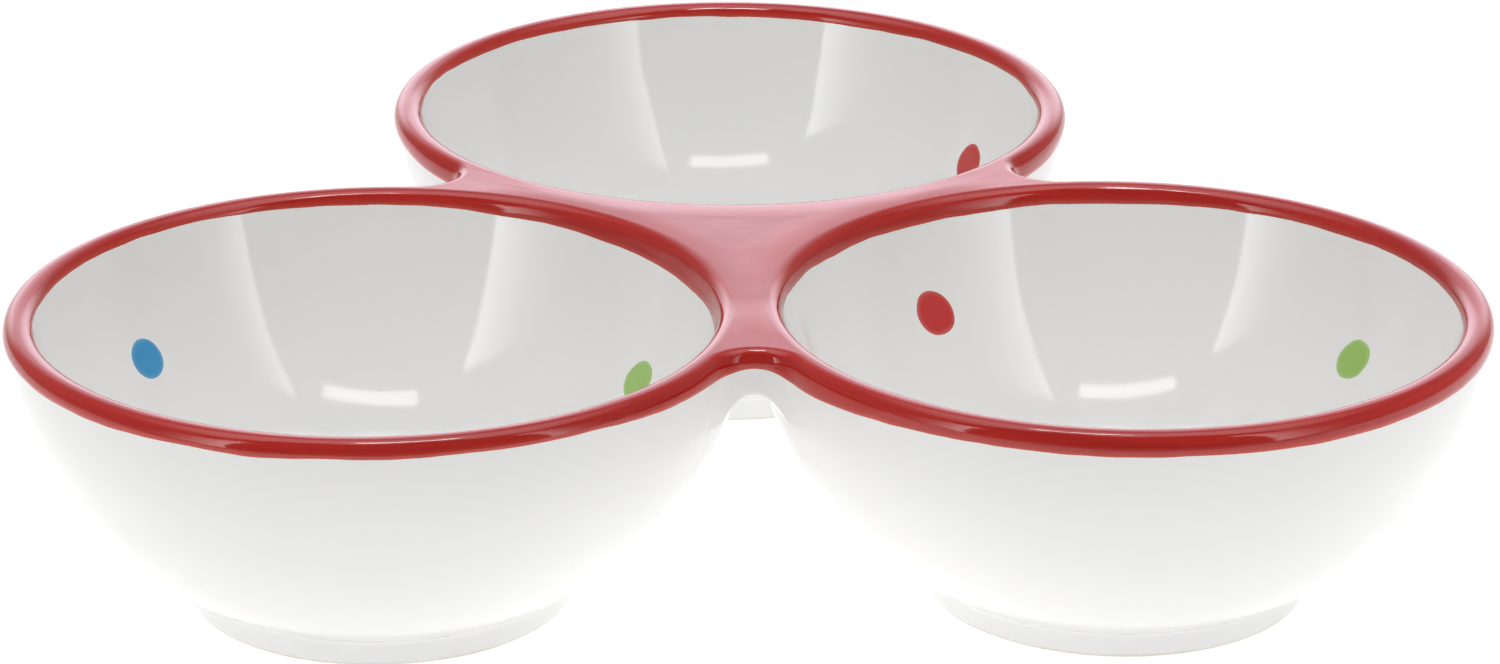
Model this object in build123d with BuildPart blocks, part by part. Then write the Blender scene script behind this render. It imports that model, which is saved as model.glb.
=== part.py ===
from build123d import *
import math
import os

os.makedirs("parts", exist_ok=True)

# Driving dimensions, in millimetres. The dish stands on the plane z = 0, with its front towards -Y.
rim_diameter = 110.0          # each bowl across the outside of its painted lip
rim_gap = 0.2                 # between two neighbouring lips where they come closest
rim_width = 4.2               # across the lip
lip_flat = 0.2                # flat left on the crown between the two rounded edges of the lip
bowl_height = 45.6            # from the table to the crown of the lip
wall_low_width = 5.6          # across the wall, level with the bowl's floor
inner_rise = 15.0             # centre of the inner wall's curve above the crown, which leans it at the lip
floor_thickness = 4.5         # bowl floor above the foot recess
floor_corner_radius = 14.0    # hollow where the inner wall runs into the floor
foot_diameter = 57.0          # foot ring, across its outside at the table
foot_height = 4.5
foot_width = 4.2              # foot ring, across its standing face
foot_flare = 0.8              # how far the ring leans out between the table and the bowl
foot_ledge = 0.6              # from the top of the ring out to the start of the bowl's wall
foot_edge_radius = 1.2        # rounding of both standing edges
bridge_depth = 7.5            # thickness of the web between the rims
bridge_hollow_radius = 6.2    # plan radius of the web's three free edges
bridge_undercut_angle = 9.0   # lean of those edges below the paint, in degrees
bridge_root_width = 3.5       # hollow clay fillet under the web, out from each bowl's wall
bridge_root_height = 4.5      # and down that wall
bridge_root_sag = 0.5         # how deep the fillet's face is hollowed
enamel_thickness = 0.25       # red coat on the lips and on the web
enamel_outside_drop = 2.7     # lower edge of the coat outside, below the crown
enamel_inside_drop = 2.1      # lower edge of the coat inside, below the crown
dot_diameter = 6.5            # painted dots inside the bowls
dot_thickness = 0.2

# Each dot: bowl, colour, direction from the bowl's axis (degrees from +X), depth below the crown.
dots = [
    ("left", "blue", 144.0, 18.2),
    ("left", "green", 27.3, 20.1),
    ("left", "red", 266.0, 19.0),
    ("right", "red", 123.3, 16.3),
    ("right", "green", 30.5, 18.7),
    ("right", "blue", 257.0, 19.0),
    ("rear", "red", 24.1, 18.1),
    ("rear", "blue", 205.0, 19.0),
    ("rear", "green", 296.0, 20.0),
]

# Sizes that follow from the driving dimensions.
rim_radius = rim_diameter / 2
lip_radius = (rim_width - lip_flat) / 2
crown_radius = rim_radius - rim_width / 2
clay_top = bowl_height - enamel_thickness
clay_lip_radius = lip_radius - enamel_thickness
floor_top = foot_height + floor_thickness
bridge_bottom = bowl_height - bridge_depth
bowl_spacing = rim_diameter + rim_gap
row_offset = bowl_spacing * math.sqrt(3) / 4
foot_top_radius = foot_diameter / 2 + foot_flare

# The walls are stretches of ellipses. The outer one is centred at the crown's height, and starts beside
# the foot ring. The inner one is centred above the crown, and runs from the lip down to the floor.
wall_start_radius = foot_top_radius + foot_ledge
outer_depth = (bowl_height - foot_height) / math.sqrt(1 - (wall_start_radius / rim_radius) ** 2)
clay_outer_radius = rim_radius - enamel_thickness
lip_inner_radius = rim_radius - rim_width
floor_drop = bowl_height - floor_top
floor_radius = clay_outer_radius * math.sqrt(1 - (floor_drop / outer_depth) ** 2) - wall_low_width
narrowing = (floor_radius / lip_inner_radius) ** 2
inner_depth = math.sqrt(((floor_drop + inner_rise) ** 2 - narrowing * inner_rise ** 2) / (1 - narrowing))
paint_inner_radius = lip_inner_radius / math.sqrt(1 - (inner_rise / inner_depth) ** 2)
clay_inner_radius = paint_inner_radius + enamel_thickness

# Bowl axes, and the direction from each axis to the middle of the dish, in turn around the web.
centres = {
    "left": Vector(-bowl_spacing / 2, -row_offset),
    "rear": Vector(0, row_offset),
    "right": Vector(bowl_spacing / 2, -row_offset),
}
dish_middle = sum(centres.values(), Vector()) / len(centres)
inward_angle = {"left": 30.0, "rear": 270.0, "right": 150.0}
neighbour_angle = 30.0        # between that direction and the one to either neighbour
hollow_angle = math.degrees(math.acos(bowl_spacing / 2 / (rim_radius + bridge_hollow_radius)))
web_half_angle = neighbour_angle + hollow_angle
paint_edge = bowl_height - enamel_outside_drop


def polar(centre, radius, angle):
    """Point at a distance and direction from a bowl's axis."""
    return centre + Vector(radius, 0).rotate(Axis.Z, angle)


def hollow_centre(name):
    """Middle of the web's free edge that follows a bowl in the turn around the web."""
    return polar(centres[name], rim_radius + bridge_hollow_radius, inward_angle[name] + web_half_angle)


def section_plane(name):
    """Upright plane through a bowl's axis: its x is the radius and its y the height."""
    return Plane(origin=centres[name], x_dir=(1, 0, 0), z_dir=(0, -1, 0))


def wall_radius(radius, depth, height, rise=0.0):
    """Radius of a wall's ellipse at a height, with its centre a rise above the crown."""
    return radius * math.sqrt(1 - ((bowl_height + rise - height) / depth) ** 2)


def wall_arc(radius, depth, low, high, rise=0.0):
    """Stretch of a wall's ellipse between two heights, from the lower one up."""
    middle = bowl_height + rise
    start = -math.degrees(math.asin((middle - low) / depth))
    end = -math.degrees(math.asin((middle - high) / depth))
    return EllipticalCenterArc((0, middle), radius, depth, start, arc_size=end - start)


def web_plan(skin):
    """Plan of the web between the three crowns, its free edges drawn in by a skin."""
    with BuildSketch() as plan:
        with BuildLine():
            ends = []
            for name, centre in centres.items():
                first = inward_angle[name] - web_half_angle
                last = inward_angle[name] + web_half_angle
                land = CenterArc(centre, crown_radius, first, arc_size=2 * web_half_angle)
                hollow = CenterArc(hollow_centre(name), bridge_hollow_radius + skin, last + 180,
                                   arc_size=180 - 2 * hollow_angle)
                Line(land @ 1, hollow @ 0)
                ends.append((land @ 0, hollow @ 1))
            for (land_start, _), (_, hollow_end) in zip(ends[1:] + ends[:1], ends):
                Line(hollow_end, land_start)
        make_face()
    return plan.sketch


def free_edges(part, skin):
    """Round edges along the web's free sides, sorted from the lowest to the highest."""
    radius = bridge_hollow_radius + skin
    round_edges = part.edges().filter_by(GeomType.CIRCLE)
    return round_edges.filter_by(lambda edge: abs(edge.radius - radius) < 1e-6).group_by(Axis.Z)


def write(part, label):
    """Names a finished piece and writes it to its own file."""
    part.label = label
    export_step(part, f"parts/{label}.step")


# Room that the web and its coat take out of the rims.
with BuildPart() as web_room:
    with BuildSketch(Plane.XY.offset(bridge_bottom)):
        add(web_plan(0))
    extrude(amount=2 * bridge_depth)

bowls = {}
for name, centre in centres.items():
    axis = Axis(centre, (0, 0, 1))

    # Bowl: wall, floor and rounded lip turned about its axis, with the rebate for the web.
    with BuildPart() as bowl:
        with BuildSketch(section_plane(name)):
            with BuildLine():
                outer = wall_arc(clay_outer_radius, outer_depth, foot_height, clay_top)
                inner = wall_arc(clay_inner_radius, inner_depth, floor_top, clay_top, inner_rise)
                Line(outer @ 1, inner @ 1)
                Polyline(inner @ 0, (0, floor_top), (0, foot_height), outer @ 0)
            make_face()
        revolve(axis=axis)
        fillet(bowl.edges().group_by(Axis.Z)[-1], clay_lip_radius)
        round_edges = bowl.edges().filter_by(GeomType.CIRCLE)
        fillet(round_edges.filter_by(lambda edge: abs(edge.center().Z - floor_top) < 1e-6),
               floor_corner_radius)
        add(web_room.part, mode=Mode.SUBTRACT)
    write(bowl.part, f"{name}_bowl")
    bowls[name] = bowl.part

    # Red coat over the lip; beside the web only its inner half is left.
    with BuildPart() as rim_enamel:
        with BuildSketch(section_plane(name)):
            with BuildLine():
                outer = wall_arc(rim_radius, outer_depth, paint_edge, bowl_height)
                inner = wall_arc(paint_inner_radius, inner_depth,
                                 bowl_height - enamel_inside_drop, bowl_height, inner_rise)
                Line(outer @ 1, inner @ 1)
                Polyline(inner @ 0, (crown_radius, bowl_height - enamel_inside_drop),
                         (crown_radius, paint_edge), outer @ 0)
            make_face()
        revolve(axis=axis)
        fillet(rim_enamel.edges().group_by(Axis.Z)[-1], lip_radius)
        add(bowl.part, mode=Mode.SUBTRACT)
        add(web_room.part, mode=Mode.SUBTRACT)
    write(rim_enamel.part, f"{name}_rim_enamel")

    # Foot ring, leaning out slightly towards the bowl that stands on it.
    with BuildPart() as foot_ring:
        with BuildSketch(section_plane(name)):
            with BuildLine():
                Polyline((foot_diameter / 2, 0), (foot_top_radius, foot_height),
                         (foot_diameter / 2 - foot_width, foot_height),
                         (foot_diameter / 2 - foot_width, 0), close=True)
            make_face()
        revolve(axis=axis)
        fillet(foot_ring.edges().group_by(Axis.Z)[0], foot_edge_radius)
    write(foot_ring.part, f"{name}_foot_ring")

# Section of the clay fillets, from its heel on the bowl's wall to its tip under the web.
root_bottom = bridge_bottom - bridge_root_height
heel = (wall_radius(clay_outer_radius, outer_depth, root_bottom), root_bottom)
tip = (wall_radius(clay_outer_radius, outer_depth, bridge_bottom) + bridge_root_width, bridge_bottom)

# Fillets of clay that carry the web: a hollow-faced ring round each bowl, kept only in that bowl's
# share of the web, which is the kite between its axis, the two free edges and the middle of the dish.
roots = []
names = list(centres)
for previous, name in zip(names[-1:] + names[:-1], names):
    with BuildPart() as root:
        with BuildSketch(section_plane(name)):
            with BuildLine():
                wall = wall_arc(clay_outer_radius, outer_depth, root_bottom, bridge_bottom)
                Line(wall @ 1, tip)
                SagittaArc(heel, tip, bridge_root_sag)
            make_face()
        revolve(axis=Axis(centres[name], (0, 0, 1)))
        with BuildSketch(Plane.XY.offset(root_bottom)):
            with BuildLine():
                Polyline(centres[name], hollow_centre(name), dish_middle, hollow_centre(previous), close=True)
            make_face()
        extrude(amount=bridge_root_height, mode=Mode.INTERSECT)
    roots.append(root.part)

# Web: a plate whose top lies level with the crowns, rounded along its free edges like the lips.
with BuildPart() as bridge:
    with BuildSketch(Plane.XY.offset(bridge_bottom)):
        add(web_plan(enamel_thickness))
    extrude(amount=bridge_depth - enamel_thickness)
    fillet(free_edges(bridge, enamel_thickness)[-1], clay_lip_radius)
    add(roots)
    with BuildSketch(Plane.XY.offset(paint_edge)):
        with Locations(*[hollow_centre(name) for name in centres]):
            Circle(bridge_hollow_radius + enamel_thickness)
    extrude(amount=root_bottom - paint_edge, taper=-bridge_undercut_angle, mode=Mode.SUBTRACT)
write(bridge.part, "bridge")

# Red coat over the web and down its free edges.
with BuildPart() as bridge_enamel:
    with BuildSketch(Plane.XY.offset(paint_edge)):
        add(web_plan(0))
    extrude(amount=enamel_outside_drop)
    fillet(free_edges(bridge_enamel, 0)[-1], lip_radius)
    add(bridge.part, mode=Mode.SUBTRACT)
write(bridge_enamel.part, "bridge_enamel")

# Painted dots: a thin layer on the inner wall, kept only inside a round outline square to the wall.
for name, colour, direction, drop in dots:
    centre = centres[name]
    height = bowl_height - drop
    radius = wall_radius(clay_inner_radius, inner_depth, height, inner_rise)
    inwards = Vector(-radius / clay_inner_radius ** 2, 0, (drop + inner_rise) / inner_depth ** 2)
    face = Plane(origin=polar(centre, radius, direction) + Vector(0, 0, height),
                 z_dir=inwards.rotate(Axis.Z, direction))
    with BuildPart() as dot:
        with BuildSketch(section_plane(name)):
            with BuildLine():
                low = height - dot_diameter
                high = height + dot_diameter
                back = wall_arc(clay_inner_radius + dot_thickness, inner_depth + dot_thickness,
                                low, high, inner_rise)
                front = wall_arc(clay_inner_radius - dot_thickness, inner_depth - dot_thickness,
                                 low, high, inner_rise)
                Line(back @ 0, front @ 0)
                Line(back @ 1, front @ 1)
            make_face()
        revolve(axis=Axis(centre, (0, 0, 1)))
        with BuildSketch(face):
            Circle(dot_diameter / 2)
        extrude(amount=dot_diameter, both=True, mode=Mode.INTERSECT)
        add(bowls[name], mode=Mode.SUBTRACT)
    write(dot.part, f"{name}_{colour}_dot")
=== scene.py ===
import math
import bmesh
import bpy
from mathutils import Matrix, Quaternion, Vector, noise


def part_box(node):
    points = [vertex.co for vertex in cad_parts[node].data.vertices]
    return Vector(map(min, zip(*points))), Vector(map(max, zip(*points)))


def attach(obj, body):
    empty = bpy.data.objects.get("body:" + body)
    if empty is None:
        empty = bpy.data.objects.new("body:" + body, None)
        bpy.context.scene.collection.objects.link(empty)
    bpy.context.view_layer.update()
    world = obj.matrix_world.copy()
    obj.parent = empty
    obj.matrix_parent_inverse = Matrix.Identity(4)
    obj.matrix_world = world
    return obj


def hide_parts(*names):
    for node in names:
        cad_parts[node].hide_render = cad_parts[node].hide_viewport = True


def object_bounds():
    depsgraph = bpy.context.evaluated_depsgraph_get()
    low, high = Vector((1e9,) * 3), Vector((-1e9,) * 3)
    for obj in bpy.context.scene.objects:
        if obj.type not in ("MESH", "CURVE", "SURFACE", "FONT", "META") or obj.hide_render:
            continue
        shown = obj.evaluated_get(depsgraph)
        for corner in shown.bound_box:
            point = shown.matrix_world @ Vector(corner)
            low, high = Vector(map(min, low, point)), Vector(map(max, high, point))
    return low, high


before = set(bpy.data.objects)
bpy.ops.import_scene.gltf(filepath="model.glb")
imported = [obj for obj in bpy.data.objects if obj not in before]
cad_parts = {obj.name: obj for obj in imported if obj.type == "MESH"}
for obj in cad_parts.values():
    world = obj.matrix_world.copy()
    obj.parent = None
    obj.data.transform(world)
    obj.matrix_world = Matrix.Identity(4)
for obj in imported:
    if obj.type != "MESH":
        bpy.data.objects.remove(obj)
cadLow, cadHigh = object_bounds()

mm = 0.001                                  # shapes are worked out in millimetres
bowlNames = ["left", "rear", "right"]       # in turn around the web


# Places and main sizes, taken from the frame

def boxMiddle(node):
    low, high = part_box(node)
    return (low + high) / 2 / mm


def reachOf(name, piece):                   # furthest point of a turned node from its bowl's axis
    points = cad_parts[name + piece].data.vertices
    return max((point.co.xy / mm - centres[name]).length for point in points)


centres = {name: boxMiddle(name + "_foot_ring").xy for name in bowlNames}
dishMiddle = (centres["left"] + centres["rear"] + centres["right"]) / 3
spacing = (centres["right"] - centres["left"]).length
rimRadius = reachOf("left", "_rim_enamel")
crownHeight = cadHigh.z / mm
footDepth = (cadHigh.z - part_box("left_foot_ring")[1].z) / mm
footTopRadius = reachOf("left", "_foot_ring")
rootDepth = (cadHigh.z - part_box("bridge")[0].z) / mm
print("frame: rim radius %.2f, spacing %.2f, height %.2f" % (rimRadius, spacing, crownHeight))


# Shader sheets: sockets that take part in sums, and one way to add a node

class Wire:
    def __init__(self, sheet, socket):
        self.sheet = sheet
        self.socket = socket

    def math(self, operation, first, second=0.0):
        return self.sheet.add("ShaderNodeMath", dict(operation=operation), {0: first, 1: second})

    def __add__(self, other):
        return self.math("ADD", self, other)

    def __radd__(self, other):
        return self.math("ADD", other, self)

    def __sub__(self, other):
        return self.math("SUBTRACT", self, other)

    def __rsub__(self, other):
        return self.math("SUBTRACT", other, self)

    def __mul__(self, other):
        return self.math("MULTIPLY", self, other)

    def __rmul__(self, other):
        return self.math("MULTIPLY", other, self)

    def __truediv__(self, other):
        return self.math("DIVIDE", self, other)

    def __pow__(self, other):
        return self.math("POWER", self, other)

    def __rpow__(self, other):
        return self.math("POWER", other, self)

    def __lt__(self, other):
        return self.math("LESS_THAN", self, other)

    def __gt__(self, other):
        return self.math("GREATER_THAN", self, other)

    def size(self):
        return self.math("ABSOLUTE", self)

    def atLeast(self, other):
        return self.math("MAXIMUM", self, other)

    def arc(self, operation):                    # angle in degrees
        return self.math(operation, self) * (180 / math.pi)


class Sheet:
    def __init__(self, tree):
        self.tree = tree
        tree.nodes.clear()

    def add(self, kind, settings=None, sockets=None, out=0):
        node = self.tree.nodes.new(kind)
        for key, value in (settings or {}).items():
            setattr(node, key, value)
        for key, value in (sockets or {}).items():
            if isinstance(value, Wire):
                self.tree.links.new(value.socket, node.inputs[key])
            else:
                node.inputs[key].default_value = value
        return Wire(self, node.outputs[out]) if len(node.outputs) else node

    def blend(self, share, first, second):
        return self.add("ShaderNodeMix", dict(data_type="RGBA"), {0: share, 6: first, 7: second}, out=2)

    def between(self, value, low, high):         # 0 at low, 1 at high, eased
        return self.add("ShaderNodeMapRange", dict(interpolation_type="SMOOTHSTEP"),
                        {0: value, 1: low, 2: high, 3: 0.0, 4: 1.0})

    def place(self):
        return self.add("ShaderNodeNewGeometry")

    def stored(self, name, out=2):               # 2 is a number, 1 is a vector
        return self.add("ShaderNodeAttribute", dict(attribute_name=name), out=out)

    def cloud(self, vector, scale, detail=2.0):
        return self.add("ShaderNodeTexNoise", {}, {"Vector": vector, "Scale": scale, "Detail": detail})

    def vector(self, operation, sockets, out=0):
        return self.add("ShaderNodeVectorMath", dict(operation=operation), sockets, out)

    def parts(self, vector):                     # its x, y and z
        return [self.add("ShaderNodeSeparateXYZ", {}, {0: vector}, out=i) for i in range(3)]

    def cameraRay(self):
        return self.add("ShaderNodeLightPath")

    def glossyRay(self):
        return self.add("ShaderNodeLightPath", out=3)

    def bump(self, height, strength, distance, under=None):
        sockets = {"Height": height, "Strength": strength, "Distance": distance}
        if under:
            sockets["Normal"] = under
        return self.add("ShaderNodeBump", {}, sockets)

    def fired(self, colour, roughness, ior, normal):
        return self.add("ShaderNodeBsdfPrincipled", {}, {
            "Base Color": colour, "Roughness": roughness, "IOR": ior, "Normal": normal})


def newFinish(name, build):
    material = bpy.data.materials.new(name)
    material.use_nodes = True
    sheet = Sheet(material.node_tree)
    shader = build(sheet)
    sheet.add("ShaderNodeOutputMaterial", {}, {0: shader})
    return material


# Finishes: lengths are in metres, and clouds, swell, peel, grain and mottle are scales of noise

whiteGlaze = dict(tone=(0.90, 0.897, 0.876, 1), shade=(0.874, 0.875, 0.858, 1), clouds=38,
                  pooled=(0.84, 0.852, 0.84, 1), pooledShare=0.7,
                  speck=(0.20, 0.16, 0.13, 1), speckShare=0.75,
                  speckCells=260, speckFrom=0.988, speckReach=0.05,      # few cells have one, in their middle
                  swell=55, peel=700, peelShare=0.02, relief=0.35, reliefHeight=0.0004,
                  roughness=0.055, roughSpread=0.03, ior=1.5)


def buildWhiteGlaze(sheet):
    glaze = whiteGlaze
    place = sheet.place()
    clouds = sheet.cloud(place, glaze["clouds"], detail=3)
    colour = sheet.blend(clouds, glaze["tone"], glaze["shade"])
    colour = sheet.blend(sheet.stored("pool") * glaze["pooledShare"], colour, glaze["pooled"])
    cells = {"Vector": place, "Scale": glaze["speckCells"]}
    near, pick = [sheet.add("ShaderNodeTexVoronoi", dict(feature="F1"), cells, out=i) for i in range(2)]
    chosen = sheet.add("ShaderNodeSeparateColor", {}, {0: pick}) > glaze["speckFrom"]
    specks = chosen * (near < glaze["speckReach"])
    colour = sheet.blend(specks * glaze["speckShare"], colour, glaze["speck"])
    swell = sheet.cloud(place, glaze["swell"], detail=1)     # slow waves where the glaze ran
    peel = sheet.cloud(place, glaze["peel"])                 # fine orange peel
    normal = sheet.bump(swell + peel * glaze["peelShare"], glaze["relief"], glaze["reliefHeight"])
    roughness = glaze["roughness"] + clouds * glaze["roughSpread"]
    return sheet.fired(colour, roughness, glaze["ior"], normal)


redEnamel = dict(deep=(0.43, 0.013, 0.009, 1), tone=(0.51, 0.020, 0.013, 1), streaks=(0.3, 0.7),
                 thin=(0.60, 0.07, 0.04, 1), thinLeast=0.45, thinStreaks=0.5,
                 swell=60, grain=900, streakShare=0.6, grainShare=0.03, relief=0.3, reliefHeight=0.0003,
                 roughness=0.06, roughSpread=0.04, ior=1.5)
webRoll = dict(start=52.9, reach=6.0, drop=0.09, full=30.0, gone=46.0)     # in millimetres


def rollHeight(sheet, place):                  # the coat sinks where it runs off the web to each bowl
    def away(centre):
        offset = sheet.vector("SUBTRACT", {0: place, 1: (*(centre * mm), 0)})
        level = sheet.vector("MULTIPLY", {0: offset, 1: (1 / mm, 1 / mm, 0)})
        return sheet.vector("LENGTH", {0: level}, out=1)

    sunk = 0.0
    for centre in centres.values():
        near = (1 - (away(centre) - webRoll["start"]) / webRoll["reach"]).atLeast(0.0)
        sunk = near * near * near + sunk
    return sunk * sheet.between(away(dishMiddle), webRoll["gone"], webRoll["full"]) * (-webRoll["drop"])


def buildRedEnamel(sheet):
    paint = redEnamel
    streaks = sheet.cloud(sheet.stored("brush", out=1), 1.0, detail=3)     # drawn along the rim by the brush
    place = sheet.place()
    swell = sheet.cloud(place, paint["swell"], detail=1)
    grain = sheet.cloud(place, paint["grain"])
    colour = sheet.blend(sheet.between(streaks, *paint["streaks"]), paint["deep"], paint["tone"])
    thin = sheet.stored("thin") * (paint["thinLeast"] + paint["thinStreaks"] * streaks)
    colour = sheet.blend(thin, colour, paint["thin"])
    height = streaks * paint["streakShare"] + swell + grain * paint["grainShare"]
    rolled = sheet.bump(rollHeight(sheet, place), 1.0, mm)
    normal = sheet.bump(height, paint["relief"], paint["reliefHeight"], rolled)
    return sheet.fired(colour, paint["roughness"] + grain * paint["roughSpread"], paint["ior"], normal)


dotFinish = dict(mottle=420, edgeShare=0.8, mottleShare=0.25, relief=0.12, reliefHeight=0.0002,
                 roughness=0.06, roughSpread=0.05, ior=1.5)
dotPaint = dict(
    red=dict(tone=(0.56, 0.037, 0.033, 1), edge=(0.66, 0.14, 0.12, 1)),
    blue=dict(tone=(0.054, 0.32, 0.61, 1), edge=(0.16, 0.43, 0.67, 1)),
    green=dict(tone=(0.34, 0.56, 0.145, 1), edge=(0.46, 0.65, 0.27, 1)))


def buildDotPaint(colourName):
    paint = dotPaint[colourName]

    def build(sheet):
        mottle = sheet.cloud(sheet.place(), dotFinish["mottle"], detail=3)
        share = sheet.stored("thin") * dotFinish["edgeShare"] + dotFinish["mottleShare"] * (mottle - 0.5)
        colour = sheet.blend(share, paint["tone"], paint["edge"])
        roughness = dotFinish["roughness"] + mottle * dotFinish["roughSpread"]
        normal = sheet.bump(mottle, dotFinish["relief"], dotFinish["reliefHeight"])
        return sheet.fired(colour, roughness, dotFinish["ior"], normal)
    return build


footFinish = dict(glaze=(0.89, 0.888, 0.876, 1), dry=(0.74, 0.70, 0.64, 1), dirt=(0.52, 0.47, 0.41, 1),
                  grain=1500, clouds=60, dirtShares=(0.45, 0.75), glazeRelief=0.1, relief=0.3,
                  reliefHeight=0.0002, roughness=0.07, dryRoughness=0.55, grainRoughness=0.25, ior=1.5)


def buildFootFinish(sheet):
    place = sheet.place()
    grain = sheet.cloud(place, footFinish["grain"], detail=4)
    clouds = sheet.cloud(place, footFinish["clouds"], detail=3)
    dry = sheet.stored("dry")
    dirt = sheet.between(grain * 0.5 + clouds * 0.5, *footFinish["dirtShares"])
    bisque = sheet.blend(dirt, footFinish["dry"], footFinish["dirt"])
    colour = sheet.blend(dry, footFinish["glaze"], bisque)
    rough = footFinish["dryRoughness"] + footFinish["grainRoughness"] * grain
    height = grain * (footFinish["glazeRelief"] + dry)
    normal = sheet.bump(height, footFinish["relief"], footFinish["reliefHeight"])
    return sheet.fired(colour, footFinish["roughness"] + dry * rough, footFinish["ior"], normal)


finishes = {"white_glaze": newFinish("whiteGlaze", buildWhiteGlaze),
            "red_enamel": newFinish("redEnamel", buildRedEnamel),
            "dry_foot": newFinish("footFinish", buildFootFinish)}
for colourName in dotPaint:
    finishes[colourName + "_dot"] = newFinish(colourName + "DotPaint", buildDotPaint(colourName))
print("finishes:", len(finishes))


# Meshes: rows and columns of points, welded where they meet

class Skin:
    def __init__(self):
        self.points = []
        self.faces = []
        self.values = {}

    def grid(self, columns, closedColumns=False, closedRows=False):
        start = len(self.points)
        rowCount = len(columns[0])
        for column in columns:
            for entry in column:
                self.points.append(entry[0])
                for key, value in entry[1].items():
                    self.values.setdefault(key, {})[len(self.points) - 1] = value
        lastColumn = len(columns) if closedColumns else len(columns) - 1
        lastRow = rowCount if closedRows else rowCount - 1
        for i in range(lastColumn):
            here = start + i * rowCount
            there = start + (i + 1) % len(columns) * rowCount
            for j in range(lastRow):
                k = (j + 1) % rowCount
                self.faces.append((here + j, there + j, there + k, here + k))

    def piece(self, node, slot, sharpAngle=50.0, weld=0.004, sliver=0.001):
        mesh = bpy.data.meshes.new(node)
        mesh.from_pydata([Vector(p) * mm for p in self.points], [], self.faces)
        for key, found in self.values.items():
            first = next(iter(found.values()))
            flat = []
            wide = not isinstance(first, float)
            for i in range(len(self.points)):
                value = found.get(i, (0.0, 0.0, 0.0) if wide else 0.0)
                flat.extend(value if wide else [value])
            layer = mesh.attributes.new(key, "FLOAT_VECTOR" if wide else "FLOAT", "POINT")
            layer.data.foreach_set("vector" if wide else "value", flat)
        work = bmesh.new()
        work.from_mesh(mesh)
        bmesh.ops.remove_doubles(work, verts=work.verts[:], dist=weld * mm)
        bmesh.ops.dissolve_degenerate(work, edges=work.edges[:], dist=sliver * mm)
        bmesh.ops.recalc_face_normals(work, faces=work.faces[:])
        work.to_mesh(mesh)
        loose = sum(1 for edge in work.edges if len(edge.link_faces) != 2)
        work.free()
        mesh.shade_smooth()
        mesh.set_sharp_from_angle(angle=math.radians(sharpAngle))
        piece = bpy.data.objects.new(node + "_skin", mesh)
        bpy.context.scene.collection.objects.link(piece)
        mesh.materials.append(finishes[slot])
        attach(piece, "root")
        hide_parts(node)
        print("  %s: %d faces, %d open edges" % (node, len(mesh.polygons), loose))


def steps(first, last, count):
    return [first + (last - first) * i / count for i in range(count + 1)]


def ease(value):
    value = max(0.0, min(1.0, value))
    return value * value * (3 - 2 * value)


# Section of a bowl: depths are below the crown, side is 1 for the outer wall and -1 for the inner one

lip = dict(width=4.2, outerRound=1.95, innerRound=2.3, tall=2.2, coat=0.1, rounds=20)
wall = dict(footLedge=0.6, lowWidth=5.6, innerRise=15.0, floorDepth=36.6, floorCorner=14.0, rounds=50)
crownRadius = rimRadius - lip["width"] / 2


def innerWall(outerDepth):                     # reach and depth of its ellipse, centred above the crown
    lipRadius = rimRadius - lip["width"]
    floorRadius = rimRadius * math.sqrt(1 - (wall["floorDepth"] / outerDepth) ** 2) - wall["lowWidth"]
    narrowing = (floorRadius / lipRadius) ** 2
    rise = wall["innerRise"]
    depth = math.sqrt(((wall["floorDepth"] + rise) ** 2 - narrowing * rise ** 2) / (1 - narrowing))
    return lipRadius / math.sqrt(1 - (rise / depth) ** 2), depth


outerDepth = footDepth / math.sqrt(1 - ((footTopRadius + wall["footLedge"]) / rimRadius) ** 2)
innerReach, innerDepth = innerWall(outerDepth)
wallDepth = {1: outerDepth, -1: innerDepth}
wallReach = {1: rimRadius - lip["coat"] / 2, -1: innerReach}
wallRise = {1: 0.0, -1: wall["innerRise"]}


def wallRadius(side, depth):
    return wallReach[side] * math.sqrt(1 - ((depth + wallRise[side]) / wallDepth[side]) ** 2)


def wallNormal(side, depth):
    normal = Vector((wallRadius(side, depth) / wallReach[side] ** 2,
                     (depth + wallRise[side]) / wallDepth[side] ** 2))
    return side * normal.normalized()


def wallRun(side, first, last, count):         # depths at even turns of the ellipse
    depth, rise = wallDepth[side], wallRise[side]
    turns = [math.asin((drop + rise) / depth) for drop in (first, last)]
    drops = [depth * math.sin(turn) - rise for turn in steps(turns[0], turns[1], count)]
    return [(wallRadius(side, drop), drop) for drop in drops]


# The lip: level on the crown, then half an oval on each side until it runs along the wall

lipWide = {1: lip["outerRound"] - lip["coat"], -1: lip["innerRound"] - lip["coat"]}     # under the coat
lipTall = lip["tall"] - lip["coat"]
lipTurn = {}
lipDepth = {}
lipFlat = {}
for side in (1, -1):
    lipTurn[side] = math.pi / 2
    for _ in range(lip["rounds"]):
        lipDepth[side] = lip["tall"] - lipTall * math.cos(lipTurn[side])
        normal = wallNormal(side, lipDepth[side])
        lipTurn[side] = math.atan2(side * normal.x * lipWide[side], -normal.y * lipTall)
    endRadius = wallRadius(side, lipDepth[side])
    lipFlat[side] = side * (endRadius - crownRadius) - lipWide[side] * math.sin(lipTurn[side])
lipPace = {side: (lipWide[side] + lipTall) / 2 for side in lipWide}      # about the way along for one turn
print("lip: level %.2f outside and %.2f inside the crown" % (lipFlat[1], lipFlat[-1]))


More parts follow.
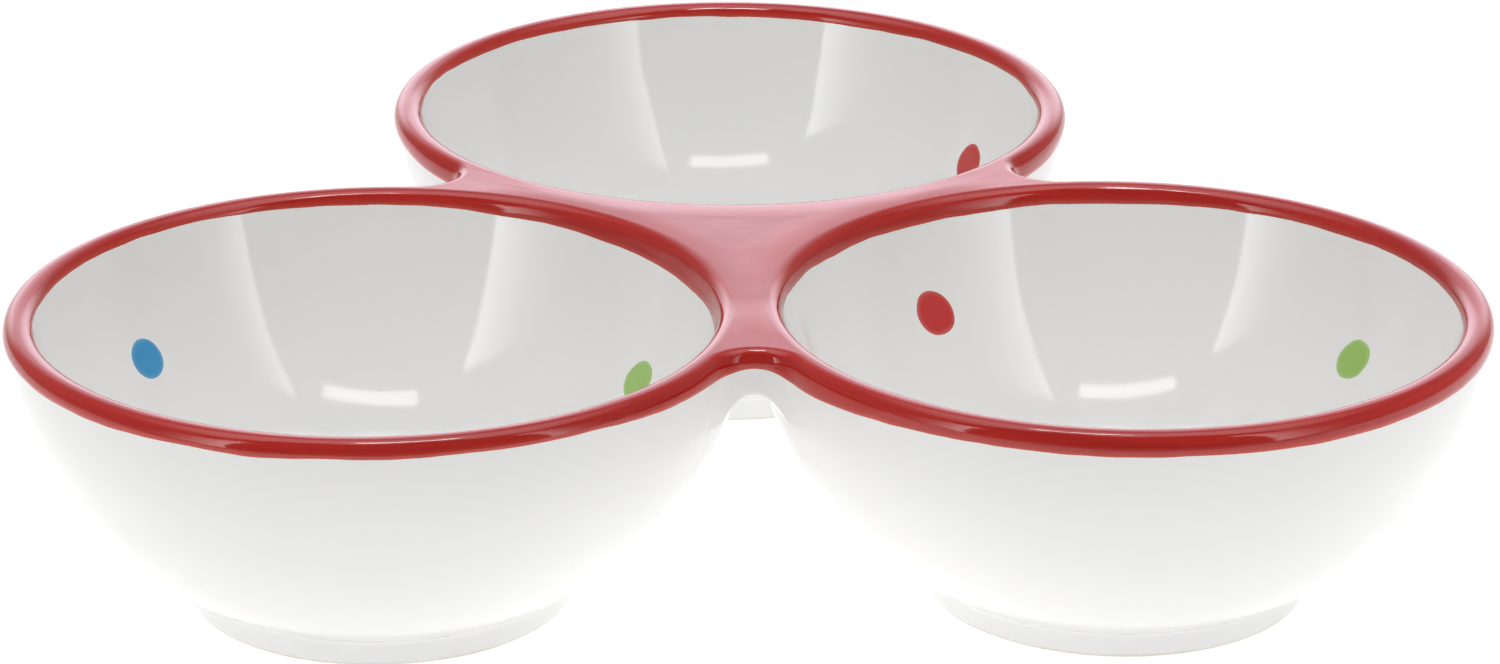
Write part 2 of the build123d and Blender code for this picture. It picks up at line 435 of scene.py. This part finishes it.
def lipPoint(side, travel, lift=0.0):          # so far from the crown along the section
    bend = travel - lipFlat[side]
    if bend <= 0:
        return crownRadius + side * travel, lip["coat"] - lift
    turn = bend / lipPace[side]
    if turn <= lipTurn[side]:
        rise = Vector((math.sin(turn) / lipWide[side], math.cos(turn) / lipTall)).normalized() * lift
        across = lipFlat[side] + lipWide[side] * math.sin(turn) + rise.x
        return crownRadius + side * across, lip["tall"] - lipTall * math.cos(turn) - rise.y
    depth = lipDepth[side] + bend - lipPace[side] * lipTurn[side]
    normal = wallNormal(side, depth)
    return wallRadius(side, depth) + lift * normal.x, depth + lift * normal.y


def travelTo(side, depth):
    if depth <= lipDepth[side]:
        return lipFlat[side] + lipPace[side] * math.acos((lip["tall"] - depth) / lipTall)
    return lipFlat[side] + lipPace[side] * lipTurn[side] + depth - lipDepth[side]


def floorCornerStart():                        # depth where the rounded corner leaves the inner wall
    low, high = 0.0, wall["floorDepth"]
    for _ in range(wall["rounds"]):
        depth = (low + high) / 2
        if depth + wall["floorCorner"] * wallNormal(-1, depth).y > wall["floorDepth"] - wall["floorCorner"]:
            high = depth
        else:
            low = depth
    return depth


def spot(centre, radius, angle, depth):
    return centre.x + radius * math.cos(angle), centre.y + radius * math.sin(angle), crownHeight - depth


def sectionSpot(centre, point, angle):
    return spot(centre, point[0], angle, point[1])


# The web: its free edges are rounded hollows between each two bowls

web = dict(depth=7.5, hollow=6.2, rootWidth=3.5, underEdge=1.2, underPace=2.5, rounds=8)
inward = {name: math.atan2(*(dishMiddle - centres[name]).yx) for name in bowlNames}
hollowAngle = math.acos(spacing / 2 / (rimRadius + web["hollow"]))
webHalf = math.pi / 6 + hollowAngle            # half a corner of the bowls' triangle, and the hollow's share
hollowSweep = math.pi - 2 * hollowAngle
following = dict(zip(bowlNames, bowlNames[1:] + bowlNames[:1]))
preceding = dict(zip(bowlNames, bowlNames[-1:] + bowlNames[:-1]))


def hollowMiddle(name):                        # of the hollow between a bowl and the one that follows it
    angle = inward[name] + webHalf
    reach = rimRadius + web["hollow"]
    return centres[name] + reach * Vector((math.cos(angle), math.sin(angle)))


def hollowSpot(name, share, reach):            # share goes from 0 at the bowl to 1 at the one that follows
    angle = inward[name] + webHalf + math.pi + share * hollowSweep
    return hollowMiddle(name) + reach * Vector((math.cos(angle), math.sin(angle)))


def hollowReach(radius):                       # the edge mirrors the bowls' own outer section
    return web["hollow"] + rimRadius - radius


# Red paint: how far its lower edge lies below the crown, as the least drop and the extra towards an angle

paintEdge = dict(
    left=dict(outside=(2.1, 0.55, 230), inside=(1.45, 2.8, 10)),
    right=dict(outside=(3.0, 0.35, 300), inside=(2.2, 0.8, 138)),
    rear=dict(outside=(2.5, 0.5, 60), inside=(1.5, 0.5, 45)))
paintGather = 3                                # how closely the extra keeps to its angle
paintRipple = dict(wide=0.28, wideLength=11.0, fine=0.10, fineLength=3.6, fineLayer=40)
webPaint = dict(left=2.9, rear=2.9, right=2.8,       # at the middle of each free edge
                endDrop=1.2, endSpread=22.0)         # extra at its ends, and how far it spreads (degrees)


def ripple(place):
    wide = noise.noise(Vector((place[0], place[1], 0)) / paintRipple["wideLength"])
    fine = noise.noise(Vector((place[0], place[1], paintRipple["fineLayer"])) / paintRipple["fineLength"])
    return paintRipple["wide"] * wide + paintRipple["fine"] * fine


def webEndShare(name, angle):                  # 1 at the ends of the web's free edges, fading along the lip
    share = 0.0
    for end in (inward[name] - webHalf, inward[name] + webHalf):
        turn = math.degrees(math.remainder(angle - end, math.tau))
        share += math.exp(-(turn / webPaint["endSpread"]) ** 2)
    return share


def plainDrop(name, where, angle):
    least, extra, towards = paintEdge[name][where]
    drop = least + extra * (0.5 + 0.5 * math.cos(angle - math.radians(towards))) ** paintGather
    return drop + webPaint["endDrop"] * webEndShare(name, angle) if where == "outside" else drop


def rimDrop(name, where, angle):
    radius = rimRadius if where == "outside" else rimRadius - lip["width"]
    return plainDrop(name, where, angle) + ripple(spot(centres[name], radius, angle, 0))


def webDrop(name, share):
    first = plainDrop(name, "outside", inward[name] + webHalf)
    last = plainDrop(following[name], "outside", inward[following[name]] - webHalf)
    ends = first + (last - first) * share
    swell = math.sin(math.pi * share) ** 2
    return ends + (webPaint[name] - ends) * swell + ripple(hollowSpot(name, share, web["hollow"]))


paintSkin = dict(taper=0.55, sink=0.04, thinWidth=1.1, brushLength=30.0, brushWidth=0.9, sharpAngle=70)


def paintLift(room):                           # full coat inside, rounded off towards the edge of the paint
    short = 1 - max(0.0, min(1.0, room / paintSkin["taper"]))
    return lip["coat"] * (1 - short * short)


def thinShare(room):                           # how much of the clay shows through near the edge
    return 1 - ease(room / paintSkin["thinWidth"])


def brushMark(place, travel):
    along = paintSkin["brushLength"]
    return place[0] / along, place[1] / along, travel / paintSkin["brushWidth"]


# Bowls

bowlMesh = dict(clearColumns=160, webColumns=80,
                under=8, lowWall=30, rebate=30, innerWall=44, corner=16, floor=8)
glazePool = dict(insideFrom=27.0, insideOver=9.0, insideShare=0.8, outsideOver=3.0, outsideShare=0.6,
                 wallLeast=2.0)


def sectorAngles(name, size):                  # (angle, beside the web), with the ends of the web doubled
    first = inward[name] - webHalf
    last = inward[name] + webHalf
    beside = [(angle, True) for angle in steps(first, last, size["webColumns"])]
    clear = [(angle, False) for angle in steps(last, first + math.tau, size["clearColumns"])]
    return beside + clear


def bowlSection(besideWeb):
    size = bowlMesh
    underRadius = footTopRadius + wall["footLedge"]
    section = [(radius, footDepth) for radius in steps(0, underRadius, size["under"])[:-1]]
    section += wallRun(1, footDepth, web["depth"], size["lowWall"])
    half = size["rebate"] // 2
    if besideWeb:
        section += [(radius, web["depth"]) for radius in steps(section[-1][0], crownRadius, half)[1:]]
        section += [(crownRadius, depth) for depth in steps(web["depth"], lip["coat"], half)[1:]]
    else:
        travels = steps(travelTo(1, web["depth"]), 0, size["rebate"])
        section += [lipPoint(1, travel) for travel in travels[1:]]
    section += [lipPoint(-1, travel) for travel in steps(0, travelTo(-1, lipDepth[-1]), half)[1:]]
    corner = floorCornerStart()
    section += wallRun(-1, lipDepth[-1], corner, size["innerWall"])[1:]
    normal = wallNormal(-1, corner)
    bend = wall["floorCorner"]
    middleRadius = wallRadius(-1, corner) + normal.x * bend
    middleDepth = wall["floorDepth"] - bend
    start = math.atan2(-normal.y, -normal.x)
    for turn in steps(start, math.pi / 2, size["corner"])[1:]:
        section.append((middleRadius + bend * math.cos(turn), middleDepth + bend * math.sin(turn)))
    section += [(radius, wall["floorDepth"]) for radius in steps(section[-1][0], 0, size["floor"])[1:]]
    return section


def poolOf(radius, depth):                     # where the glaze gathers: low inside, and above the foot
    pool = glazePool
    outside = ease((depth - footDepth + pool["outsideOver"]) / pool["outsideOver"]) * pool["outsideShare"]
    if radius >= wallRadius(1, depth) - pool["wallLeast"]:
        return outside
    inside = ease((depth - pool["insideFrom"]) / pool["insideOver"]) * pool["insideShare"]
    return max(inside, outside)


def buildBowl(name):
    skin = Skin()
    sections = {besideWeb: bowlSection(besideWeb) for besideWeb in (True, False)}
    pools = {key: [poolOf(*entry) for entry in section] for key, section in sections.items()}
    columns = []
    for angle, besideWeb in sectorAngles(name, bowlMesh):
        columns.append([(sectionSpot(centres[name], point, angle), {"pool": pool})
                        for point, pool in zip(sections[besideWeb], pools[besideWeb])])
    skin.grid(columns, closedColumns=True)
    skin.piece(name + "_bowl", "white_glaze")


for name in bowlNames:
    buildBowl(name)
print("bowls done")


# Painted lips

rimMesh = dict(clearColumns=180, webColumns=120, inside=16, outside=16)


def rimColumn(name, angle, besideWeb):
    centre = centres[name]
    insideEnd = travelTo(-1, rimDrop(name, "inside", angle))
    outsideEnd = 0.0 if besideWeb else travelTo(1, rimDrop(name, "outside", angle))
    path = [(-1, travel, insideEnd) for travel in steps(insideEnd, 0, rimMesh["inside"])]
    path += [(1, travel, outsideEnd) for travel in steps(0, outsideEnd, rimMesh["outside"])[1:]]
    over = []
    under = []
    for side, travel, end in path:
        room = end - travel if side < 0 or not besideWeb else paintSkin["taper"]
        stroke = brushMark(spot(centre, crownRadius, angle, 0), side * travel)
        values = {"thin": thinShare(room), "brush": stroke}
        over.append((sectionSpot(centre, lipPoint(side, travel, paintLift(room)), angle), values))
        under.append((sectionSpot(centre, lipPoint(side, travel, -paintSkin["sink"]), angle), values))
    return over + under[::-1]


def buildRim(name):
    skin = Skin()
    columns = [rimColumn(name, angle, besideWeb) for angle, besideWeb in sectorAngles(name, rimMesh)]
    skin.grid(columns, closedColumns=True, closedRows=True)
    skin.piece(name + "_rim_enamel", "red_enamel", paintSkin["sharpAngle"])


for name in bowlNames:
    buildRim(name)
print("painted lips done")


# Web: body and coat

webMesh = dict(edge=40, seam=24, across=12, down=18, turn=5, under=10, land=3, strokes=10.0)


def coveDepth(radius):                         # underside, with its clay fillet down the bowl's wall
    heel = wallRadius(1, rootDepth)
    tip = wallRadius(1, web["depth"]) + web["rootWidth"]
    share = max(0.0, min(1.0, (radius - heel) / (tip - heel)))
    return web["depth"] + (rootDepth - web["depth"]) * (1 - share) ** 2


def underEdge(name, share):                    # where a free edge turns under the web
    inset = web["underEdge"] * ease(math.sin(math.pi * share) * web["underPace"])
    depth = web["depth"]
    for _ in range(web["rounds"]):
        reach = hollowReach(wallRadius(1, depth - inset))
        place = hollowSpot(name, share, reach + inset)
        radius = min((place - centres[name]).length, (place - centres[following[name]]).length)
        depth = coveDepth(radius)
    return place, depth, inset


def seamSpots(first):                          # to the dish's middle, where two bowls' shares of the web meet
    return [first + (dishMiddle - first) * share for share in steps(0, 1, webMesh["seam"])]


def shareOutline(name, edgeSpot):              # far side of a bowl's share of the web, from end to end
    half = [i / webMesh["edge"] for i in range(webMesh["edge"] // 2 + 1)]
    before = [edgeSpot(preceding[name], 1 - share) for share in half]
    after = [edgeSpot(name, share) for share in half]
    inwards = seamSpots(before[-1])[1:]
    outwards = seamSpots(after[-1])[::-1][1:-1]
    return before + inwards + outwards + after[::-1]


def crownSpot(name, share):
    return hollowSpot(name, share, hollowReach(crownRadius))


def underSpot(name, share):
    return underEdge(name, share)[0]


def polarOf(name, place):
    offset = place - centres[name]
    return offset.length, math.atan2(offset.y, offset.x)


def webTop(name, lift):
    columns = []
    for far in shareOutline(name, crownSpot):
        radius, angle = polarOf(name, far)
        column = []
        for reach in steps(crownRadius, radius, webMesh["across"]):
            place = spot(centres[name], reach, angle, lip["coat"] - lift)
            stroke = (reach - crownRadius) / webMesh["strokes"]
            column.append((place, {"thin": 0.0, "brush": brushMark(place, stroke)}))
        columns.append(column)
    return columns


def webUnder(name):
    columns = []
    heel = wallRadius(1, rootDepth)
    ledge = wallRadius(1, web["depth"])
    tops = shareOutline(name, crownSpot)
    for far, top in zip(shareOutline(name, underSpot), tops):
        radius, angle = polarOf(name, far)
        topAngle = polarOf(name, top)[1]
        column = [(spot(centres[name], crownRadius, topAngle, lip["coat"]), {})]
        column += [(spot(centres[name], crownRadius, angle, depth), {})
                   for depth in steps(lip["coat"], web["depth"], webMesh["land"])[1:]]
        column.append((spot(centres[name], ledge, angle, web["depth"]), {}))
        column += [(spot(centres[name], wallRadius(1, depth), angle, depth), {})
                   for depth in steps(web["depth"], rootDepth, webMesh["land"])[1:]]
        column += [(spot(centres[name], reach, angle, coveDepth(reach)), {})
                   for reach in steps(heel, max(heel, radius), webMesh["under"])[1:]]
        columns.append(column)
    return columns


def bareEdge(name):                            # free edge of the body, from the crown round under the web
    columns = []
    for share in steps(0, 1, webMesh["edge"]):
        place, depth, inset = underEdge(name, share)
        column = []
        for travel in steps(0, travelTo(1, depth - inset), webMesh["down"]):
            radius, drop = lipPoint(1, travel)
            at = hollowSpot(name, share, hollowReach(radius))
            column.append(((at.x, at.y, crownHeight - drop), {}))
        reach = hollowReach(wallRadius(1, depth - inset))
        for turn in steps(0, math.pi / 2, webMesh["turn"])[1:]:
            at = hollowSpot(name, share, reach + inset * (1 - math.cos(turn)))
            column.append(((at.x, at.y, crownHeight - depth + inset * (1 - math.sin(turn))), {}))
        columns.append(column)
    return columns


def paintedEdge(name, sunk):
    columns = []
    for share in steps(0, 1, webMesh["edge"]):
        end = travelTo(1, webDrop(name, share))
        column = []
        for travel in steps(0, end, webMesh["down"]):
            lift = -paintSkin["sink"] if sunk else paintLift(end - travel)
            radius, drop = lipPoint(1, travel, lift)
            at = hollowSpot(name, share, hollowReach(radius))
            values = {"thin": thinShare(end - travel), "brush": brushMark(at, travel)}
            column.append(((at.x, at.y, crownHeight - drop), values))
        columns.append(column)
    return columns


def addCoat(skin, over, under, row):           # both faces of a coat, closed between them along one row
    skin.grid(over)
    skin.grid(under)
    skin.grid([[upper[row], lower[row]] for upper, lower in zip(over, under)])


body = Skin()
coat = Skin()
for name in bowlNames:
    body.grid(webTop(name, 0.0))
    body.grid(webUnder(name))
    body.grid(bareEdge(name))
    addCoat(coat, webTop(name, lip["coat"]), webTop(name, -paintSkin["sink"]), 0)
    addCoat(coat, paintedEdge(name, False), paintedEdge(name, True), -1)
body.piece("bridge", "white_glaze")
coat.piece("bridge_enamel", "red_enamel", paintSkin["sharpAngle"])
print("web done")


# Foot rings

foot = dict(width=4.2, flare=0.8, edge=1.2, edgeLean=0.1, straight=1.56, innerCove=1.4, innerLift=0.05,
            coveDown=1.3, coveOut=1.9, covePull=0.25, sink=0.04,
            backIn=1.0, backUp=0.5, backTop=0.6)         # the side that lies inside the bowl's wall
footMesh = dict(columns=200, round=6, land=4, cove=8)
footDry = dict(height=0.35, fade=0.35, wander=0.18, wanderLength=9.0)


def curveThrough(first, pull, last, count):    # quadratic curve
    first, pull, last = Vector(first), Vector(pull), Vector(last)
    return [tuple(first * (1 - t) ** 2 + pull * (2 * t * (1 - t)) + last * t * t)
            for t in steps(0, 1, count)]


def footSection():                             # radius and height, from inside the recess round to the wall
    height = crownHeight - footDepth
    outside = footTopRadius - foot["flare"]
    inside = outside - foot["width"]
    edge = foot["edge"]
    cove = foot["innerCove"]
    lift = foot["innerLift"]
    section = curveThrough((inside - cove, height + lift), (inside - lift, height),
                           (inside, height - cove), footMesh["round"])
    section += [(inside, foot["straight"])]
    section += curveThrough((inside, edge), (inside, 0), (inside + edge, 0), footMesh["round"])
    section += [(radius, 0) for radius in steps(inside + edge, outside - edge, footMesh["land"])[1:-1]]
    section += curveThrough((outside - edge, 0), (outside, 0), (outside + foot["edgeLean"], edge),
                            footMesh["round"])
    low = height - foot["coveDown"]
    reach = footTopRadius + foot["coveOut"]
    meet = crownHeight - wallDepth[1] * math.sqrt(1 - (reach / wallReach[1]) ** 2)
    section += curveThrough((outside + foot["flare"] * low / height, low),
                            (footTopRadius, height + foot["covePull"]),
                            (reach, meet + foot["sink"]), footMesh["cove"])
    section += [(reach - foot["backIn"], meet + foot["backUp"]), (inside, height + foot["backTop"])]
    return section


def buildFoot(name):
    skin = Skin()
    section = footSection()
    columns = []
    for angle in steps(0, math.tau, footMesh["columns"])[:-1]:
        column = []
        for radius, height in section:
            place = spot(centres[name], radius, angle, crownHeight - height)
            wander = footDry["wander"] * noise.noise(Vector(place) / footDry["wanderLength"])
            wet = ease((height - footDry["height"] - wander) / footDry["fade"])
            column.append((place, {"dry": 1 - wet}))
        columns.append(column)
    skin.grid(columns, closedColumns=True, closedRows=True)
    skin.piece(name + "_foot_ring", "dry_foot")


for name in bowlNames:
    buildFoot(name)
print("foot rings done")


# Painted dots: thin domes with a hand-laid outline on the inner wall

dotShape = dict(red=dict(wide=6.4, tall=7.45, tilt=-36, wobble=0.05),
                blue=dict(wide=6.2, tall=6.6, tilt=-41, wobble=0.04),
                green=dict(wide=5.95, tall=7.05, tilt=48, wobble=0.05))
dotMesh = dict(rings=9, columns=56, lift=0.14, taper=0.3, thinWidth=0.2, wobbleScale=1.3, wobbleTurn=3)


def dotSpot(name, angle, depth, across, up, lift):
    lean = -wallNormal(-1, depth).y
    level = depth - up * math.sqrt(1 - lean * lean)
    normal = wallNormal(-1, level)
    radius = wallRadius(-1, level)
    return spot(centres[name], radius + lift * normal.x, angle + across / radius, level + lift * normal.y)


def dotRings():                                # (share of the way out, lift, thinness), then the hidden side
    rings = []
    for share in steps(0, 1, dotMesh["rings"]):
        short = max(0.0, (share - 1 + dotMesh["taper"]) / dotMesh["taper"])
        thin = ease((share - 1 + dotMesh["thinWidth"]) / dotMesh["thinWidth"])
        rings.append((share, dotMesh["lift"] * (1 - short * short), thin))
    return rings + [(share, -paintSkin["sink"], 1.0) for share in (1, 0)]


def buildDot(name, colourName):
    node = "%s_%s_dot" % (name, colourName)
    shape = dotShape[colourName]
    middle = boxMiddle(node)
    offset = middle.xy - centres[name]
    angle = math.atan2(offset.y, offset.x)
    depth = crownHeight - middle.z
    tilt = math.radians(shape["tilt"])
    skin = Skin()
    rings = dotRings()
    columns = []
    for turn in steps(0, math.tau, dotMesh["columns"])[:-1]:
        edge = Vector((math.cos(turn), math.sin(turn), angle * dotMesh["wobbleTurn"]))
        reach = 1 + shape["wobble"] * noise.noise(edge * dotMesh["wobbleScale"])
        wide = shape["wide"] / 2 * reach * math.cos(turn)
        tall = shape["tall"] / 2 * reach * math.sin(turn)
        across = wide * math.cos(tilt) - tall * math.sin(tilt)
        up = wide * math.sin(tilt) + tall * math.cos(tilt)
        columns.append([(dotSpot(name, angle, depth, across * share, up * share, lift), {"thin": thin})
                        for share, lift, thin in rings])
    skin.grid(columns, closedColumns=True)
    skin.piece(node, colourName + "_dot")


for name in bowlNames:
    for colourName in dotPaint:
        buildDot(name, colourName)
print("dots done")


# Floor, light and camera

floorPlan = dict(half=6.0, front=-0.22, glowReach=0.18,        # in metres
                 colour=(0.90, 0.90, 0.90, 1), glow=0.58, seenGlow=0.48)


def buildFloorFinish(sheet):
    plain = sheet.add("ShaderNodeBsdfDiffuse", {}, {"Color": floorPlan["colour"]})
    x, y = sheet.parts(sheet.place())[:2]
    near = math.e ** ((x * x + y * y) * (-1 / floorPlan["glowReach"] ** 2))      # lit from below at the dish
    seen = sheet.cameraRay() + sheet.glossyRay()
    strength = near * floorPlan["glow"] + seen * (1 - near) * floorPlan["seenGlow"]
    glow = sheet.add("ShaderNodeEmission", {}, {"Color": strength})
    return sheet.add("ShaderNodeAddShader", {}, {0: plain, 1: glow})


def stageSheet(name, corners, finish):
    mesh = bpy.data.meshes.new(name)
    mesh.from_pydata([Vector(corner) * mm for corner in corners], [], [(0, 1, 2, 3)])
    mesh.materials.append(finish)
    panel = bpy.data.objects.new(name, mesh)
    bpy.context.scene.collection.objects.link(panel)
    return panel


def buildFloor():
    half = floorPlan["half"] / mm
    front = floorPlan["front"] / mm
    corners = [(-half, front, 0), (half, front, 0), (half, half, 0), (-half, half, 0)]
    stageSheet("floor", corners, newFinish("floorFinish", buildFloorFinish))


# White cloth on both sides of the camera, brightest along its inner edges, from which it fades (in metres)

frontCloth = dict(left=dict(edge=-382.0, back=-414.0, bright=4.9, fade=0.16),
                  right=dict(edge=246.0, back=-300.0, bright=3.6, fade=0.09))
clothShape = dict(height=500.0, reach=800.0, level=0.4)


def buildFrontCloth(name):
    cloth = frontCloth[name]
    edge = cloth["edge"]

    def build(sheet):
        past = (sheet.parts(sheet.place())[0] - edge * mm).size()
        strength = clothShape["level"] + cloth["bright"] * math.e ** (past * (-1 / cloth["fade"]))
        return sheet.add("ShaderNodeEmission", {}, {"Color": strength})

    back = cloth["back"]
    end = edge + math.copysign(clothShape["reach"], edge)
    top = clothShape["height"]
    corners = [(edge, back, 0), (end, back, 0), (end, back, top), (edge, back, top)]
    panel = stageSheet(name + "Cloth", corners, newFinish(name + "ClothLight", build))
    panel.visible_camera = False


redCoats = [name + "_rim_enamel" for name in bowlNames] + ["bridge_enamel"]
lamps = dict(front=dict(place=(-11, -349, 500), wide=333.0, deep=50.0, watts=0.30, spares=redCoats),
             top=dict(place=(0, 0, 800), wide=200.0, deep=80.0, watts=0.8, spares=[]))


def buildLamp(name):
    lamp = lamps[name]
    data = bpy.data.lights.new(name + "Lamp", "AREA")
    data.shape = "RECTANGLE"
    data.size = lamp["wide"] * mm
    data.size_y = lamp["deep"] * mm
    data.energy = lamp["watts"]
    piece = bpy.data.objects.new(name + "Lamp", data)
    bpy.context.scene.collection.objects.link(piece)
    piece.location = Vector(lamp["place"]) * mm
    if lamp["spares"]:                           # the red coats don't mirror this one
        spared = bpy.data.collections.new(name + "Spared")
        for node in lamp["spares"]:
            spared.objects.link(bpy.data.objects[node + "_skin"])
        for member in spared.collection_objects:
            member.light_linking.link_state = "EXCLUDE"
        piece.light_linking.receiver_collection = spared


# Strengths, and the angles in degrees between which each fades in: turns from the front, heights from level

tent = dict(wall=0.38, ceiling=2.05, ceilingHeights=(45, 70),
            front=0.22, frontTurns=(70, 62), frontHeights=(86, 78), low=0.35, lowHeights=(-2, -10),
            back=1.35, backTurns=(140, 168), backHeights=(50, 14), backTint=(0.98, 0.96, 1.07, 1),
            horizon=0.9, horizonTop=(21.2, 17.5), horizonFoot=(2, 10),
            spill=0.15, least=0.000001)


def buildTent():
    world = bpy.data.worlds.new("tent")
    bpy.context.scene.world = world
    world.use_nodes = True
    sheet = Sheet(world.node_tree)
    x, y, z = sheet.parts(sheet.add("ShaderNodeTexCoord"))
    flat = (x * x + y * y + tent["least"]) ** 0.5
    turn = (-1 * y / flat).arc("ARCCOSINE")
    height = (z / flat).arc("ARCTANGENT")
    opening = sheet.between(turn, *tent["frontTurns"]) * sheet.between(height, *tent["frontHeights"])
    behind = sheet.between(turn, *tent["backTurns"])
    band = sheet.between(height, *tent["horizonTop"]) * sheet.between(height, *tent["horizonFoot"])
    back = sheet.between(height, *tent["backHeights"]) * tent["back"] + band * tent["horizon"]
    mirrored = tent["spill"] + (1 - tent["spill"]) * sheet.glossyRay()     # the back shows mostly in gloss
    above = sheet.between(height, *tent["ceilingHeights"])
    walls = tent["wall"] * (1 - above) + tent["ceiling"] * above + behind * back * mirrored
    front = tent["front"] + tent["low"] * sheet.between(height, *tent["lowHeights"])
    light = walls * (1 - opening) + opening * front
    seen = sheet.cameraRay()
    tint = sheet.blend(behind * (1 - seen), (1, 1, 1, 1), tent["backTint"])
    shade = sheet.add("ShaderNodeBackground", {}, {"Color": tint, "Strength": light * (1 - seen) + seen})
    sheet.add("ShaderNodeOutputWorld", {}, {0: shade})


shot = dict(place=(-28.15, -825.41, 335.15), aim=(-0.26, -54.66, 43.5), roll=0.222,
            lens=134.83, sensor=36.0, nearest=10.0)


def buildCamera():
    data = bpy.data.cameras.new("camera")
    data.lens = shot["lens"]
    data.sensor_width = shot["sensor"]
    data.sensor_fit = "HORIZONTAL"
    data.clip_start = shot["nearest"] * mm
    camera = bpy.data.objects.new("camera", data)
    bpy.context.scene.collection.objects.link(camera)
    camera.location = Vector(shot["place"]) * mm
    camera.rotation_mode = "QUATERNION"
    look = (Vector(shot["aim"]) - Vector(shot["place"])).to_track_quat("-Z", "Y")
    camera.rotation_quaternion = look @ Quaternion((0, 0, 1), math.radians(shot["roll"]))
    bpy.context.scene.camera = camera


buildFloor()
for name in frontCloth:
    buildFrontCloth(name)
for name in lamps:
    buildLamp(name)
buildTent()
buildCamera()
bpy.context.scene.view_settings.view_transform = "Standard"
print("floor, light and camera done")
